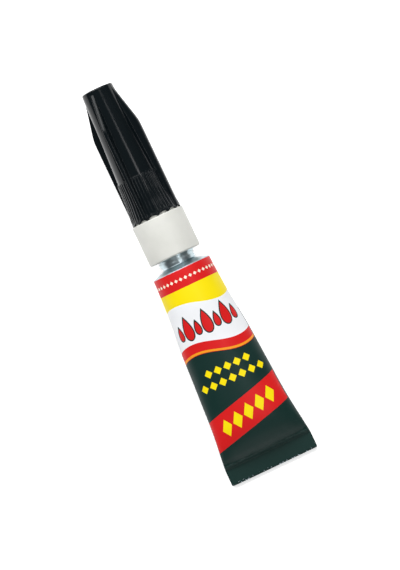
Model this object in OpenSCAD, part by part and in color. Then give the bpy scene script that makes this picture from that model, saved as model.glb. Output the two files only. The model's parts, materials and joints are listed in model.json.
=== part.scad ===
// Super glue tube: a collapsible aluminium tube with a screw-on nozzle and a finned cap.
// Sizes are in millimetres. Every piece is modelled upright, with the tube's axis on Z,
// the shoulder's edge at height 0, the cap above it and the printed front facing -Y.
// lay_down() then puts the whole tube on its back, resting on its round end and on its fold.

/* [Tube] */
// Outer diameter at the round end
tube_d = 13.5; // [12:0.1:15]
// Length from the shoulder's edge to the fold line
body_l = 43.5; // [38:0.5:56]
// Thickness of the aluminium wall
wall_t = 0.12; // [0.1:0.01:0.15]
// Height of the cone from the tube's edge up to the neck
shoulder_h = 0.85; // [0.6:0.05:1.1]
// Thickness of the shoulder's metal
shoulder_t = 0.5; // [0.4:0.05:0.6]
// Radius of the shoulder's outer edge
shoulder_edge_r = 0.35; // [0.2:0.05:0.45]

/* [Neck] */
// Diameter at the root of the neck's thread
neck_root_d = 7.8; // [7.2:0.1:8]
// How far the neck's thread stands out of its root
neck_thread_h = 0.3; // [0.2:0.02:0.36]
// Pitch of the neck's thread
neck_pitch = 1.5; // [1.2:0.1:1.8]
// Diameter of the hole through the neck
neck_bore_d = 6.2; // [5.4:0.1:6.4]
// Thickness of the membrane that seals the neck
membrane_t = 0.1; // [0.08:0.01:0.14]

/* [Folded end] */
// Width of the folded end
hem_w = 20.6; // [19:0.1:24]
// Height of the folded end
hem_h = 3.6; // [3:0.1:5.5]
// Length of the slope from the body down to the flat fold
bevel_l = 1.2; // [0.9:0.1:1.6]
// Air left between the two leaves of the fold
fold_slit = 0.08; // [0.04:0.01:0.15]
// Thickness of the sealing strip inside the fold
seal_t = 0.12; // [0.08:0.01:0.16]

/* [Glue] */
// Height of the glue's level surface above the table
glue_level = 5.6; // [5:0.1:11]

/* [Nozzle] */
// Diameter of the white collar
collar_d = 12; // [11.4:0.1:13]
// Height of the white collar
collar_h = 9.4; // [8.6:0.1:12]
// How far the nozzle still screws down before its collar meets the shoulder
pierce_travel = 1.9; // [1.4:0.1:2.2]
// Thickness of the collar's roof
roof_t = 1.6; // [1.2:0.1:2]
// Height of the low seat that the cap closes round
seat_h = 1; // [0.8:0.1:1.2]
// Diameter of the low seat
seat_d = 9; // [8.6:0.1:9.1]
// Length of the spout above the collar
spout_l = 25.5; // [20:0.5:26]
// Outer diameter of the spout's thread
spout_thread_d = 6; // [5.4:0.1:6.2]
// How far the spout's thread stands out of its root
spout_thread_h = 0.3; // [0.2:0.02:0.34]
// Pitch of the spout's thread
spout_pitch = 1.5; // [1.2:0.1:1.8]
// Number of turns on the spout's thread
spout_turns = 3; // [2:1:3]
// Diameter of the spout just above its thread
spout_foot_d = 5; // [4.6:0.1:5.2]
// Diameter of the spout at its tip
spout_tip_d = 2.2; // [2:0.1:2.6]
// Diameter of the hole in the spout's tip
orifice_d = 1.2; // [1:0.05:1.4]
// Diameter of the wider channel below it
channel_d = 2.4; // [1.8:0.1:2.6]
// Diameter of the piercing spike at its root
spike_d = 2.8; // [2.4:0.1:3.4]

/* [Cap] */
// Height of the cap
cap_h = 31; // [30:0.5:36]
// Diameter of the cap's flat tip
cap_tip_d = 7.25; // [6.6:0.05:7.6]
// Diameter of the core where the skirt starts
core_d = 9.5; // [9.2:0.1:10]
// Height of the ribbed skirt
skirt_h = 10; // [8:0.5:12]
// Diameter of the skirt at its rim
rim_d = 11.3; // [11:0.05:11.6]
// Width of the ledge on top of the skirt
ledge_w = 0.12; // [0.06:0.02:0.2]
// Thickness of the cap's wall round the spout
cap_wall_t = 0.95; // [0.8:0.05:1.1]
// Thickness of the plastic above the pin
cap_roof_t = 1.2; // [1:0.1:1.6]
// Radius of the edge round the tip
cap_tip_r = 0.3; // [0.15:0.05:0.5]
// Number of grip fins
fin_n = 4; // [3:1:6]
// Diameter across two opposite fins
fin_d = 12; // [11.6:0.1:12.4]
// Thickness of a fin
fin_t = 0.9; // [0.7:0.1:1.2]
// Distance from the tip to where a fin starts
fin_start = 0.6; // [0.4:0.1:1.5]
// Distance from the tip to where a fin reaches its full width
fin_full = 10; // [7:0.5:14]
// Turn of the first fin from the printed front, to the left
fin_turn = 25; // [0:1:89]
// Number of lobes on the rim
lobe_n = 14; // [10:1:18]
// Depth of the arches between the lobes
lobe_h = 0.3; // [0.15:0.05:0.45]
// Number of fine ribs above each lobe
ribs_per_lobe = 3; // [2:1:3]
// How far a fine rib stands out of the skirt
rib_h = 0.12; // [0.08:0.02:0.2]

/* [Pin in the cap] */
// Diameter of the needle that plugs the orifice
needle_d = 1; // [0.8:0.02:1.02]
// How far the needle reaches into the orifice
needle_in = 3; // [1.5:0.25:4]
// Diameter of the stem held in the cap
stem_d = 2; // [1.6:0.1:2.4]
// Diameter of the flange under the cap's roof
flange_d = 3; // [2.8:0.1:3.4]
// Thickness of that flange
flange_t = 0.5; // [0.4:0.05:0.7]

/* [Fits] */
// Radial clearance of a thread's crest in its bore
thread_gap = 0.08; // [0.05:0.01:0.1]
// Radial clearance of the pin's stem in the cap
pin_gap = 0.05; // [0.03:0.01:0.08]
// Clearance between flat faces that stop a movement
stop_gap = 0.15; // [0.1:0.05:0.25]
// Clearance between two faces that lie on each other
lie_gap = 0.02; // [0.01:0.01:0.04]

/* [Hidden] */
$fn = 96;
// Every cut runs this far past the face it opens
overrun = 0.5;

// Half-height of the body as a share of its round radius, by share of its length
body_height_shares = [
    [0, 1], [0.085, 0.98], [0.2, 0.93], [0.3, 0.86], [0.4, 0.79],
    [0.59, 0.70], [0.81, 0.58], [0.91, 0.46], [0.97, 0.32], [1, 0.2]
];
// Sides and rings of the body's skin
sides = 48;
rings = 20;

tube_r = tube_d / 2;
girth = PI * tube_d;
// The skin is a polygon all round, so its flats lie a little inside its radius
flat_share = cos(180 / sides);
// Turned lip of the shoulder inside the skin: how far it reaches down, and the two radii that
// it tapers between
lap_l = 4 * shoulder_t;
lap_out_r = tube_r - wall_t / 2;
lap_in_r = tube_r - 3 * wall_t;

// Ring around the fold: two walls with the sealing strip between them
pocket_t = seal_t + 2 * lie_gap;
leaf_t = 2 * wall_t + pocket_t;
fold_r = (leaf_t + fold_slit) / 2;
hem_z = -(body_l + bevel_l);
hem_end_z = hem_z - hem_h;

// Heights of the nozzle on the neck
collar_z = shoulder_h + pierce_travel + stop_gap;
collar_top_z = collar_z + collar_h;
roof_z = collar_top_z - roof_t;
neck_top_z = roof_z - pierce_travel - 2 * stop_gap;
neck_thread_r = neck_root_d / 2 + neck_thread_h;
neck_bore_r = neck_bore_d / 2;
collar_bore_r = neck_thread_r + thread_gap;
membrane_r = neck_bore_r + shoulder_t / 2;

// Heights of the spout, the pin and the cap
spout_z = collar_top_z + seat_h;
spout_thread_r = spout_thread_d / 2;
spout_thread_z = spout_z + spout_turns * spout_pitch;
spout_tip_z = collar_top_z + spout_l;
cap_z = collar_top_z + lie_gap;
cap_tip_z = cap_z + cap_h;
chamber_z = spout_tip_z + flange_t + 4 * stop_gap;
stem_z = cap_tip_z - cap_roof_t;
cap_bore_r = spout_thread_r + thread_gap;
skirt_z = cap_z + skirt_h;
rim_r = rim_d / 2;
lobe_pitch = 360 / lobe_n;
rib_n = lobe_n * ribs_per_lobe;
rib_pitch = 360 / rib_n;
// Turn of the lobe nearest the printed front: a little to its right
lobe_turn = lobe_pitch / 5 - 90;

// How far the skirt has flared from its top towards its rim, by share of the way down
flare_shares = [[0, 0], [0.3, 0.1], [0.55, 0.3], [0.77, 0.62], [0.9, 0.82], [1, 1]];

// Which span of a table holds x
function span_at(table, x, i = 0) =
    i >= len(table) - 2 || x <= table[i + 1][0] ? i : span_at(table, x, i + 1);

// Slope of a table at one of its rows: level at the first row
function slope_at(table, i) =
    i == 0 ? 0 : let (j = min(i + 1, len(table) - 1))
    (table[j][1] - table[i - 1][1]) / (table[j][0] - table[i - 1][0]);

// Smooth value of a table at x
function curve_at(table, x) =
    let (i = span_at(table, x), p = table[i], q = table[i + 1])
    let (d = q[0] - p[0], t = (x - p[0]) / d)
    p[1] * (2 * t^3 - 3 * t^2 + 1) + q[1] * (3 * t^2 - 2 * t^3)
    + d * slope_at(table, i) * (t^3 - 2 * t^2 + t) + d * slope_at(table, i + 1) * (t^3 - t^2);

// Length round an ellipse, and the half-width that keeps the tube's girth at a half-height
function ellipse_girth(a, b) = PI * (3 * (a + b) - sqrt((3 * a + b) * (a + 3 * b)));
function half_width(b, low = tube_r / 2, high = girth / 3, n = 24) =
    let (mid = (low + high) / 2)
    n == 0 ? mid
    : ellipse_girth(mid, b) > girth ? half_width(b, low, mid, n - 1)
    : half_width(b, mid, high, n - 1);

// Half-height of the body at a distance below the shoulder's edge
function half_height(s) = tube_r * curve_at(body_height_shares, s / body_l);

// Half-width there: it keeps the girth, and is drawn to the fold's width as the body flattens
end_half_w = hem_w / 2 - leaf_t / 4;
end_stretch = end_half_w / half_width(half_height(body_l));
function body_half_width(s) =
    let (b = half_height(s), flatness = (tube_r - b) / (tube_r - half_height(body_l)))
    half_width(b) * (1 + flatness * (end_stretch - 1));

// Distances of the rings below the shoulder's edge: the first lies in the turned shoulder
skin_start = shoulder_edge_r;
ring_s = [for (i = [0:rings]) skin_start + (body_l - skin_start) * i / rings];

// The tube lies on the back of its first ring and on the turn of its fold, which tilts its axis
low_r = tube_r * flat_share;
turn_r = fold_r + leaf_t / 2;
rest_l = -hem_end_z - turn_r - skin_start;
tilt = atan((low_r - fold_r) / rest_l) - asin(turn_r / norm([low_r - fold_r, rest_l]));
rest_h = low_r * cos(tilt) + skin_start * sin(tilt);

// Between those two the belly runs just clear of the table: each ring is moved towards the
// front until its back is there
belly_rise = wall_t / 3;
function front_shift(s) = let (run = s - skin_start)
    flat_share * half_height(s) - low_r + run * tan(tilt)
    + belly_rise * sin(180 * run / (body_l - skin_start));

// Points of one ring, moved to the front by shift
function ring(a, b, z, shift = 0) = [
    for (k = [0:sides - 1]) let (t = (k + 0.5) * 360 / sides) [a * cos(t), b * sin(t) - shift, z]
];

// Points of the body's section at s, drawn in by inset all round
function body_ring(s, inset) =
    ring(body_half_width(s) - inset, half_height(s) - inset, -s, front_shift(s));

// Triangles between ring i and ring j of a stack
function band(i, j) = [
    for (k = [0:sides - 1]) let (m = (k + 1) % sides)
    each [[i * sides + k, i * sides + m, j * sides + m], [i * sides + k, j * sides + m, j * sides + k]]
];

// Points along an arc from angle a to angle b
function arc(c, r, a, b, n = 6) =
    [for (i = [0:n]) let (t = a + (b - a) * i / n) c + r * [cos(t), sin(t)]];

// The ends of the tube along the table, and the middle between them
front_y = (cap_tip_z - cap_tip_r) * cos(tilt) + (cap_tip_d / 2 - cap_tip_r) * sin(tilt) + cap_tip_r;
back_y = (hem_end_z + turn_r) * cos(tilt) + fold_r * sin(tilt) - turn_r;
middle_y = (front_y + back_y) / 2;

// A point of the upright tube, laid down
function laid(x, y, z) = [
    x, z * cos(tilt) + y * sin(tilt) - middle_y, z * sin(tilt) - y * cos(tilt) + rest_h
];

module lay_down() {
    translate([0, -middle_y, rest_h]) rotate([tilt - 90, 0, 0]) children();
}

// Ridges of a thread, drawn as level rings with sloping flanks
module thread_rings(root_r, height, pitch, first_z, n) {
    for (i = [0:1:n - 1]) translate([0, 0, first_z + i * pitch]) rotate_extrude()
        polygon([
            [root_r - height, -pitch / 3], [root_r, -pitch / 3],
            [root_r + height, -pitch / 8], [root_r + height, pitch / 8],
            [root_r, pitch / 3], [root_r - height, pitch / 3]
        ]);
}

// Printed skin from the shoulder to the fold, one thin closed wall
module body_skin() {
    flat_a = hem_w / 2 - leaf_t;
    outer = [for (s = ring_s) body_ring(s, 0)];
    inner = [for (s = ring_s) body_ring(s, wall_t)];
    outer_end = ring(flat_a, leaf_t / 2 - lie_gap, hem_z);
    inner_end = ring(flat_a - wall_t, pocket_t / 2 + lie_gap, hem_z);
    stack = concat(outer, [outer_end, inner_end], [for (i = [rings:-1:0]) inner[i]]);
    n = len(stack);
    polyhedron(
        points = [for (r = stack) each r],
        faces = [for (i = [0:n - 1]) each band(i, (i + 1) % n)],
        convexity = 6
    );
}

// Turned shoulder and neck, with the bore through them
module shoulder_and_neck() {
    under_z = shoulder_h - shoulder_t;
    inner_r = tube_r - shoulder_t;
    rotate_extrude() polygon(concat(
        [[neck_bore_r, neck_top_z], [neck_bore_r, under_z], [inner_r, -shoulder_edge_r]],
        [[lap_in_r, -lap_l]],
        arc([lap_out_r - shoulder_edge_r, -shoulder_edge_r], shoulder_edge_r, 0, 75),
        [[neck_root_d / 2 + shoulder_edge_r, shoulder_h - shoulder_edge_r / 3]],
        [[neck_root_d / 2, shoulder_h + shoulder_edge_r / 3], [neck_root_d / 2, neck_top_z]]
    ));
}

// Folded end as a 2D section: a leaf that runs down, turns round and comes up again
module hem_section(t) {
    run = hem_h - turn_r;
    turn_z = hem_end_z + turn_r;
    translate([-t / 2, turn_z]) square([t, run + bevel_l / 10]);
    translate([2 * fold_r - t / 2, turn_z]) square([t, run]);
    translate([fold_r, turn_z]) intersection() {
        difference() {
            circle(r = fold_r + t / 2);
            circle(r = fold_r - t / 2);
        }
        translate([-hem_h / 2, -hem_h]) square([hem_h, hem_h]);
    }
}

// The folded section drawn out to a width across the tube
module across(w) {
    rotate([90, 0, 90]) linear_extrude(height = w, center = true) children();
}

module tube_shell() {
    color("darkslategray") lay_down() {
        difference() {
            union() {
                shoulder_and_neck();
                thread_turns = floor((neck_top_z - shoulder_h) / neck_pitch);
                thread_rings(neck_root_d / 2, neck_thread_h, neck_pitch,
                    neck_top_z - (thread_turns - 0.5) * neck_pitch, thread_turns);
            }
            // seat of the membrane in the neck's mouth
            translate([0, 0, neck_top_z - membrane_t]) cylinder(r = membrane_r, h = overrun);
        }
        body_skin();
        difference() {
            across(hem_w) hem_section(leaf_t);
            across(hem_w - 4 * wall_t) hem_section(pocket_t);
        }
    }
}

module membrane() {
    color("silver") lay_down() translate([0, 0, neck_top_z - membrane_t])
        cylinder(r = membrane_r - lie_gap, h = membrane_t);
}

module end_seal() {
    color("tan") lay_down() across(hem_w - 4 * wall_t - 2 * lie_gap) hem_section(seal_t);
}

// Glue in the body, up to its level surface: the air lies above it, at the neck's end
module glue() {
    first = lap_l + stop_gap;
    inset = wall_t + 2 * lie_gap;
    levels = [for (s = ring_s) if (s > first + stop_gap && s < body_l - bevel_l) s];
    stack = [for (s = concat([first], levels)) body_ring(s, inset)];
    n = len(stack) - 1;
    color("lightyellow") intersection() {
        lay_down() polyhedron(
            points = [for (r = stack) each r],
            faces = concat(
                [for (i = [0:n - 1]) each band(i, i + 1)],
                [[for (k = [sides - 1:-1:0]) k], [for (k = [0:sides - 1]) n * sides + k]]
            ),
            convexity = 4
        );
        translate([-hem_w, -body_l * 2, 0]) cube([2 * hem_w, body_l * 4, glue_level]);
    }
}

// Outside of the nozzle: collar, low seat, thread root and tapered spout
module nozzle_body() {
    edge = roof_t / 4;
    spout_root_r = spout_thread_r - spout_thread_h;
    rotate_extrude() polygon(concat(
        [[0, collar_z]],
        arc([collar_d / 2 - edge, collar_z + edge], edge, -90, 0),
        arc([collar_d / 2 - edge, collar_top_z - edge], edge, 0, 90),
        [[seat_d / 2, collar_top_z], [seat_d / 2, spout_z - edge], [seat_d / 2 - edge, spout_z]],
        [[spout_root_r, spout_z], [spout_root_r, spout_thread_z]],
        [[spout_foot_d / 2, spout_thread_z + spout_pitch / 3]],
        [[spout_tip_d / 2, spout_tip_z], [0, spout_tip_z]]
    ));
    thread_rings(spout_root_r, spout_thread_h, spout_pitch, spout_z + spout_pitch / 2, spout_turns);
}

module nozzle() {
    spike_tip_z = neck_top_z + stop_gap;
    narrow_z = spout_tip_z - 2 * needle_in;
    color("ghostwhite") lay_down() {
        difference() {
            nozzle_body();
            // room for the neck, with the grooves of its thread
            translate([0, 0, collar_z - overrun]) cylinder(r = collar_bore_r, h = roof_z - collar_z + overrun);
            groove_n = floor((roof_z - collar_z) / neck_pitch);
            thread_rings(collar_bore_r, neck_thread_h, neck_pitch, collar_z + neck_pitch * 0.6, groove_n);
            // channel for the glue
            translate([0, 0, roof_z - overrun]) cylinder(d = orifice_d, h = spout_tip_z - roof_z + 2 * overrun);
            translate([0, 0, spout_z]) cylinder(d = channel_d, h = narrow_z - spout_z - channel_d / 2);
            translate([0, 0, narrow_z - channel_d / 2])
                cylinder(d1 = channel_d, d2 = orifice_d, h = channel_d / 2);
        }
        // hollow spike that pierces the membrane
        rotate_extrude() polygon([
            [orifice_d / 2, roof_z + overrun], [spike_d / 2, roof_z + overrun],
            [spike_d / 2, roof_z], [orifice_d / 2 + membrane_t, spike_tip_z], [orifice_d / 2, spike_tip_z]
        ]);
    }
}

module cap_pin() {
    flange_z = chamber_z - flange_t - lie_gap;
    needle_z = spout_tip_z - needle_in;
    point = needle_d / 4;
    color("lightgray") lay_down() {
        translate([0, 0, flange_z]) cylinder(d = flange_d, h = flange_t);
        translate([0, 0, flange_z]) cylinder(d = stem_d, h = stem_z - stop_gap - flange_z);
        translate([0, 0, needle_z + point]) cylinder(d = needle_d, h = flange_z - needle_z);
        translate([0, 0, needle_z]) cylinder(d1 = needle_d - 2 * point, d2 = needle_d, h = point);
    }
}

// Points up the skirt's outside, from its rim to its top, moved out from it
skirt_n = 16;
function skirt_point(i, out) =
    let (top_r = core_d / 2 + ledge_w, flare = curve_at(flare_shares, 1 - i / skirt_n))
    [top_r + (rim_r - top_r) * flare + out, cap_z + skirt_h * i / skirt_n];

// Outside of the cap without its fins
module cap_body() {
    rotate_extrude() polygon(concat(
        [[0, cap_z]],
        [for (i = [0:skirt_n]) skirt_point(i, 0)],
        [[core_d / 2, skirt_z]],
        arc([cap_tip_d / 2 - cap_tip_r, cap_tip_z - cap_tip_r], cap_tip_r, 3, 90),
        [[0, cap_tip_z]]
    ));
}

// One fine rib up the skirt, short of its two ends
module skirt_rib() {
    rotate_extrude(angle = rib_pitch / 2) polygon(concat(
        [for (i = [1:skirt_n - 1]) skirt_point(i, rib_h)],
        [for (i = [skirt_n - 1:-1:1]) skirt_point(i, -rib_h)]
    ));
}

// One grip fin, from the axis out, turned about the axis
module fin(turn) {
    rotate([0, 0, turn]) rotate([90, 0, 0]) linear_extrude(height = fin_t, center = true)
        polygon([
            [0, cap_z], [fin_d / 2, cap_z], [fin_d / 2, cap_tip_z - fin_full],
            [cap_tip_d / 2, cap_tip_z - fin_start], [0, cap_tip_z - fin_start]
        ]);
}

// Hollow of the cap: recess over the seat, thread bore, chamber round the spout, pin's bore
module cap_hollow() {
    thread_end_z = spout_thread_z + spout_pitch;
    wide_r = core_d / 2 - cap_wall_t;
    narrow_r = cap_tip_d / 2 - cap_wall_t;
    translate([0, 0, cap_z - overrun])
        cylinder(d = seat_d + 2 * stop_gap, h = seat_h + stop_gap + overrun);
    translate([0, 0, cap_z]) cylinder(r = cap_bore_r, h = thread_end_z - cap_z);
    thread_rings(cap_bore_r, spout_thread_h, spout_pitch, spout_z + spout_pitch, spout_turns);
    rotate_extrude() polygon([
        [0, thread_end_z - lie_gap], [cap_bore_r, thread_end_z - lie_gap],
        [wide_r, thread_end_z + wide_r - cap_bore_r],
        [wide_r, skirt_z], [narrow_r, chamber_z], [0, chamber_z]
    ]);
    translate([0, 0, chamber_z - overrun])
        cylinder(r = stem_d / 2 + pin_gap, h = stem_z - chamber_z + overrun);
}

module cap() {
    // radius and drop of the circle that cuts an arch of the named depth between two lobes
    arch_half = rim_r * sin(lobe_pitch / 2) * 0.9;
    arch_r = (arch_half^2 + lobe_h^2) / (2 * lobe_h);
    color([0.07, 0.08, 0.09]) lay_down() difference() {
        union() {
            cap_body();
            for (i = [0:fin_n - 1]) fin(-90 - fin_turn + i * 360 / fin_n);
            for (i = [0:rib_n - 1]) rotate([0, 0, lobe_turn + (i - 0.25) * rib_pitch]) skirt_rib();
        }
        cap_hollow();
        for (i = [0:lobe_n - 1]) rotate([0, 0, lobe_turn + (i + 0.5) * lobe_pitch])
            translate([seat_d / 2, 0, cap_z + lobe_h - arch_r]) rotate([0, 90, 0])
                cylinder(r = arch_r, h = collar_d);
    }
}

// Places that the joints and mounts use, in the laid frame
echo(tilt = tilt, rest_h = rest_h, middle_y = middle_y);
echo(axis = laid(0, 0, 1) - laid(0, 0, 0));
echo(pin_place = laid(0, 0, stem_z - stop_gap));
echo(cap_tip_place = laid(0, 0, cap_tip_z));
echo(hem_front_place = laid(0, -leaf_t / 2, (hem_z + hem_end_z) / 2));
echo(hem_back_place = laid(0, 2 * fold_r + leaf_t / 2, (hem_z + hem_end_z) / 2));
echo(front_normal = laid(0, -1, 0) - laid(0, 0, 0));

tube_shell();
membrane();
end_seal();
glue();
nozzle();
cap_pin();
cap();
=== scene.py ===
# %% [markdown]
# A super glue tube, finished in Blender
#
# A glue tube looks simple, but it shows five finishes side by side: satin print on thin
# aluminium, bare turned aluminium, soft white plastic, polished black plastic and, inside the
# cap, a steel pin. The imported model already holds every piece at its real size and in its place.
# This file gives the pieces their finer shapes and their finishes, one piece at a time, and then
# lights them.

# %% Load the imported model
import json
import math

import bmesh
import bpy
import numpy as np
from mathutils import Matrix, Vector


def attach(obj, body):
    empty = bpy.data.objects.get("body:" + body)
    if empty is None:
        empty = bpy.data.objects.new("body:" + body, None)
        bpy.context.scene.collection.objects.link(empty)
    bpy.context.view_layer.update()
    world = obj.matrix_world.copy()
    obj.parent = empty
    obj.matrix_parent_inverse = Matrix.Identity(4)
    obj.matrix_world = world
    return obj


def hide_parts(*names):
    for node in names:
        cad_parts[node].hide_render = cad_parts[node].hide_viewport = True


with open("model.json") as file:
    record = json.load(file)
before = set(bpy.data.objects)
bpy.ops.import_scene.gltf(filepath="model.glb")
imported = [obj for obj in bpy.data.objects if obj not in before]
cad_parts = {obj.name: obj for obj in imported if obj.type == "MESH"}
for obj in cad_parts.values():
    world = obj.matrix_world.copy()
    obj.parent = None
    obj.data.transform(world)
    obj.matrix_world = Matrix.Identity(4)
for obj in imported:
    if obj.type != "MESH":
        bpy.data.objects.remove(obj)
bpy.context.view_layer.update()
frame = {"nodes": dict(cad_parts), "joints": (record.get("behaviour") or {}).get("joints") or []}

# %% [markdown]
# The tube lies on its round end and on its fold, so its axis is a little tilted. Shapes are
# easier to think about with the tube standing up: X to the right, Y to the back, Z along the axis
# towards the cap, and height 0 at the shoulder's edge. One matrix lays a finished mesh down
# again. It could be typed in as an angle, but it is read from the nozzle's joint and the tube's
# own mesh, so it always fits the model.

# %% Stand the tube up
MM = 0.001
BODY_L = 43.5  # from the shoulder's edge down to the fold line, in millimetres as all sizes here
SLOPE_L = 1.2  # the short slope from the body to the flat leaf
FOLD_H = 3.6  # the fold, from its upper edge to its bend

joints = {joint["name"]: joint for joint in frame["joints"]}
UP = Vector(joints["nozzle_screw"]["axis"]).normalized()
BACK = Vector((0, UP.z, -UP.y))


def reach(node):
    """Lowest and highest place of a node along the tube's axis, in metres."""
    along = [v.co.dot(UP) for v in frame["nodes"][node].data.vertices]
    return min(along), max(along)


EDGE = reach("tube_shell")[0] + (BODY_L + SLOPE_L + FOLD_H) * MM
pivot = Vector(joints["cap_turn"]["pos_m"])
ORIGIN = pivot + (EDGE - pivot.dot(UP)) * UP
LAID = Matrix.Translation(ORIGIN) @ Matrix((Vector((1, 0, 0)), BACK, UP)).transposed().to_4x4()


def heights(node):
    """Lowest and highest place of a node above the shoulder's edge, in millimetres."""
    return [(place - EDGE) / MM for place in reach(node)]


COLLAR_Z, SPOUT_TIP_Z = heights("nozzle")
CAP_Z, CAP_TIP_Z = heights("cap")
print("Above the shoulder's edge, in millimetres:")
print("nozzle from", round(COLLAR_Z, 2), "to", round(SPOUT_TIP_Z, 2))
print("cap from", round(CAP_Z, 2), "to", round(CAP_TIP_Z, 2))

# %% [markdown]
# Most meshes here are stacks of closed rings, or outlines turned about the axis. A short list of
# points would be enough for a rough model, but machined and moulded edges are never sharp: a
# small radius catches the light. So the outlines are built from points and arcs. Quads between
# rings give even, closed surfaces, and each finished piece is laid down with the same matrix.


# %% Helpers for outlines, rings and meshes
def arc(x, y, radius, start, end, steps=6):
    """Points of an arc round (x, y), from one angle to another, in degrees."""
    turns = [math.radians(start + (end - start) * i / steps) for i in range(steps + 1)]
    return [(x + radius * math.cos(t), y + radius * math.sin(t)) for t in turns]


def curve_at(table, x):
    """Smooth value at x of a table of (place, value) rows, level at its first row."""
    last = len(table) - 1
    i = min(max(sum(x > row[0] for row in table) - 1, 0), last - 1)
    (x0, y0), (x1, y1) = table[i], table[i + 1]

    def slope(k):
        """Slope of the table at row k."""
        low, high = table[max(k - 1, 0)], table[min(k + 1, last)]
        return 0 if k == 0 else (high[1] - low[1]) / (high[0] - low[0])

    span = x1 - x0
    t = (x - x0) / span
    rise = y0 * (2 * t**3 - 3 * t**2 + 1) + y1 * (3 * t**2 - 2 * t**3)
    return rise + span * (slope(i) * (t**3 - 2 * t**2 + t) + slope(i + 1) * (t**3 - t**2))


def new_mesh(name, points, faces):
    """A mesh from points in millimetres, standing up, with its faces turned outwards."""
    mesh = bpy.data.meshes.new(name)
    shape = bmesh.new()
    verts = [shape.verts.new(point) for point in points]
    for face in faces:
        shape.faces.new([verts[i] for i in face])
    bmesh.ops.recalc_face_normals(shape, faces=shape.faces)
    shape.to_mesh(mesh)
    shape.free()
    return mesh


def stack_faces(rows, columns, closed):
    """Quads between the rings of a stack; a closed stack joins its last ring to its first."""
    faces = []
    for i in range(rows if closed else rows - 1):
        for j in range(columns):
            a, b = i * columns, (i + 1) % rows * columns
            k = (j + 1) % columns
            faces.append((a + j, b + j, b + k, a + k))
    return faces


def finish_piece(name, meshes, material, body, nodes, sharp=32):
    """Joins meshes into one piece, lays it down, and ties it to its body and nodes."""
    whole = bmesh.new()
    for mesh in meshes:
        whole.from_mesh(mesh)
    bmesh.ops.recalc_face_normals(whole, faces=whole.faces)
    whole.transform(LAID @ Matrix.Scale(MM, 4))
    mesh = bpy.data.meshes.new(name)
    whole.to_mesh(mesh)
    whole.free()
    mesh.materials.clear()
    mesh.materials.append(material)
    mesh.polygons.foreach_set("material_index", [0] * len(mesh.polygons))
    mesh.polygons.foreach_set("use_smooth", [True] * len(mesh.polygons))
    mesh.set_sharp_from_angle(angle=math.radians(sharp))
    piece = bpy.data.objects.new(name, mesh)
    bpy.context.scene.collection.objects.link(piece)
    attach(piece, body)
    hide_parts(*nodes)
    triangles = sum(len(face.vertices) - 2 for face in mesh.polygons)
    print(name, "has", triangles, "triangles")


# %% [markdown]
# Node trees, both for materials and for Geometry Nodes, are written with one small function. It
# adds a node, sets its options, and fills each input with either a value or another node's
# output. A second function turns the hex colours that a designer would write into the linear
# values that shaders expect.


# %% Helpers for nodes and colours
MATH = "ShaderNodeMath"
NOISE = "ShaderNodeTexNoise"


def add(tree, kind, inputs=(), out=0, **settings):
    """Adds a node and returns one of its outputs."""
    node = tree.nodes.new(kind)
    for name, value in settings.items():
        setattr(node, name, value)
    for key, value in inputs.items() if isinstance(inputs, dict) else enumerate(inputs):
        if isinstance(value, bpy.types.NodeSocket):
            tree.links.new(value, node.inputs[key])
        elif value is not None:
            node.inputs[key].default_value = value
    return node.outputs[out]


def hex_colour(code):
    """Linear RGBA of an sRGB colour such as E0231F."""
    parts = [int(code[i : i + 2], 16) / 255 for i in (0, 2, 4)]
    return [c / 12.92 if c <= 0.04045 else ((c + 0.055) / 1.055) ** 2.4 for c in parts] + [1]


def new_finish(name, colour, roughness, **inputs):
    """A material, its tree and its one shader; _ stands for a space in an input's name."""
    material = bpy.data.materials.new(name)
    material.use_nodes = True
    tree = material.node_tree
    shader = next(node for node in tree.nodes if node.type == "BSDF_PRINCIPLED")
    shader.inputs["Base Color"].default_value = hex_colour(colour)
    shader.inputs["Roughness"].default_value = roughness
    for key, value in inputs.items():
        shader.inputs[key.replace("_", " ")].default_value = value
    print("Made the finish", name)
    return material, tree, shader


def standing_place(tree):
    """Object coordinates turned upright again, in millimetres: X right, Y back, Z up the axis."""
    flat = add(tree, "ShaderNodeTexCoord", out="Object")
    inverse = LAID.inverted()
    place = {"Vector": flat, "Location": inverse.to_translation() / MM}
    place |= {"Rotation": inverse.to_euler(), "Scale": [1 / MM] * 3}
    return add(tree, "ShaderNodeMapping", place, vector_type="POINT")


# %% [markdown]
# Geometry Nodes make what repeats or follows a rule. Each tree here has named inputs for its
# sizes, and its result is kept as a plain mesh, so nothing is left to be computed later. The
# first tree is a lathe. The neck is turned, and the nozzle comes from a mould that was turned, so
# one outline says everything about each. Spinning points in Python would do too, but in the tree
# the outline is swept round a tiny circle, and the number of sides stays an input.


# %% Geometry Nodes trees, and the lathe
def new_tree(name, sizes):
    """A Geometry Nodes tree with a geometry, named inputs and their values, and a material."""
    tree = bpy.data.node_groups.new(name, "GeometryNodeTree")
    interface = tree.interface
    interface.new_socket("Geometry", in_out="OUTPUT", socket_type="NodeSocketGeometry")
    interface.new_socket("Geometry", in_out="INPUT", socket_type="NodeSocketGeometry")
    for label, value in sizes.items():
        kind = "NodeSocketInt" if isinstance(value, int) else "NodeSocketFloat"
        interface.new_socket(label, in_out="INPUT", socket_type=kind).default_value = value
    interface.new_socket("Material", in_out="INPUT", socket_type="NodeSocketMaterial")
    return tree, tree.nodes.new("NodeGroupInput").outputs


def end_tree(tree, geometry, material):
    """Realizes the instances, gives the material and closes the tree."""
    real = add(tree, "GeometryNodeRealizeInstances", [geometry])
    painted = add(tree, "GeometryNodeSetMaterial", {"Geometry": real, "Material": material})
    tree.links.new(painted, tree.nodes.new("NodeGroupOutput").inputs[0])


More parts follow.
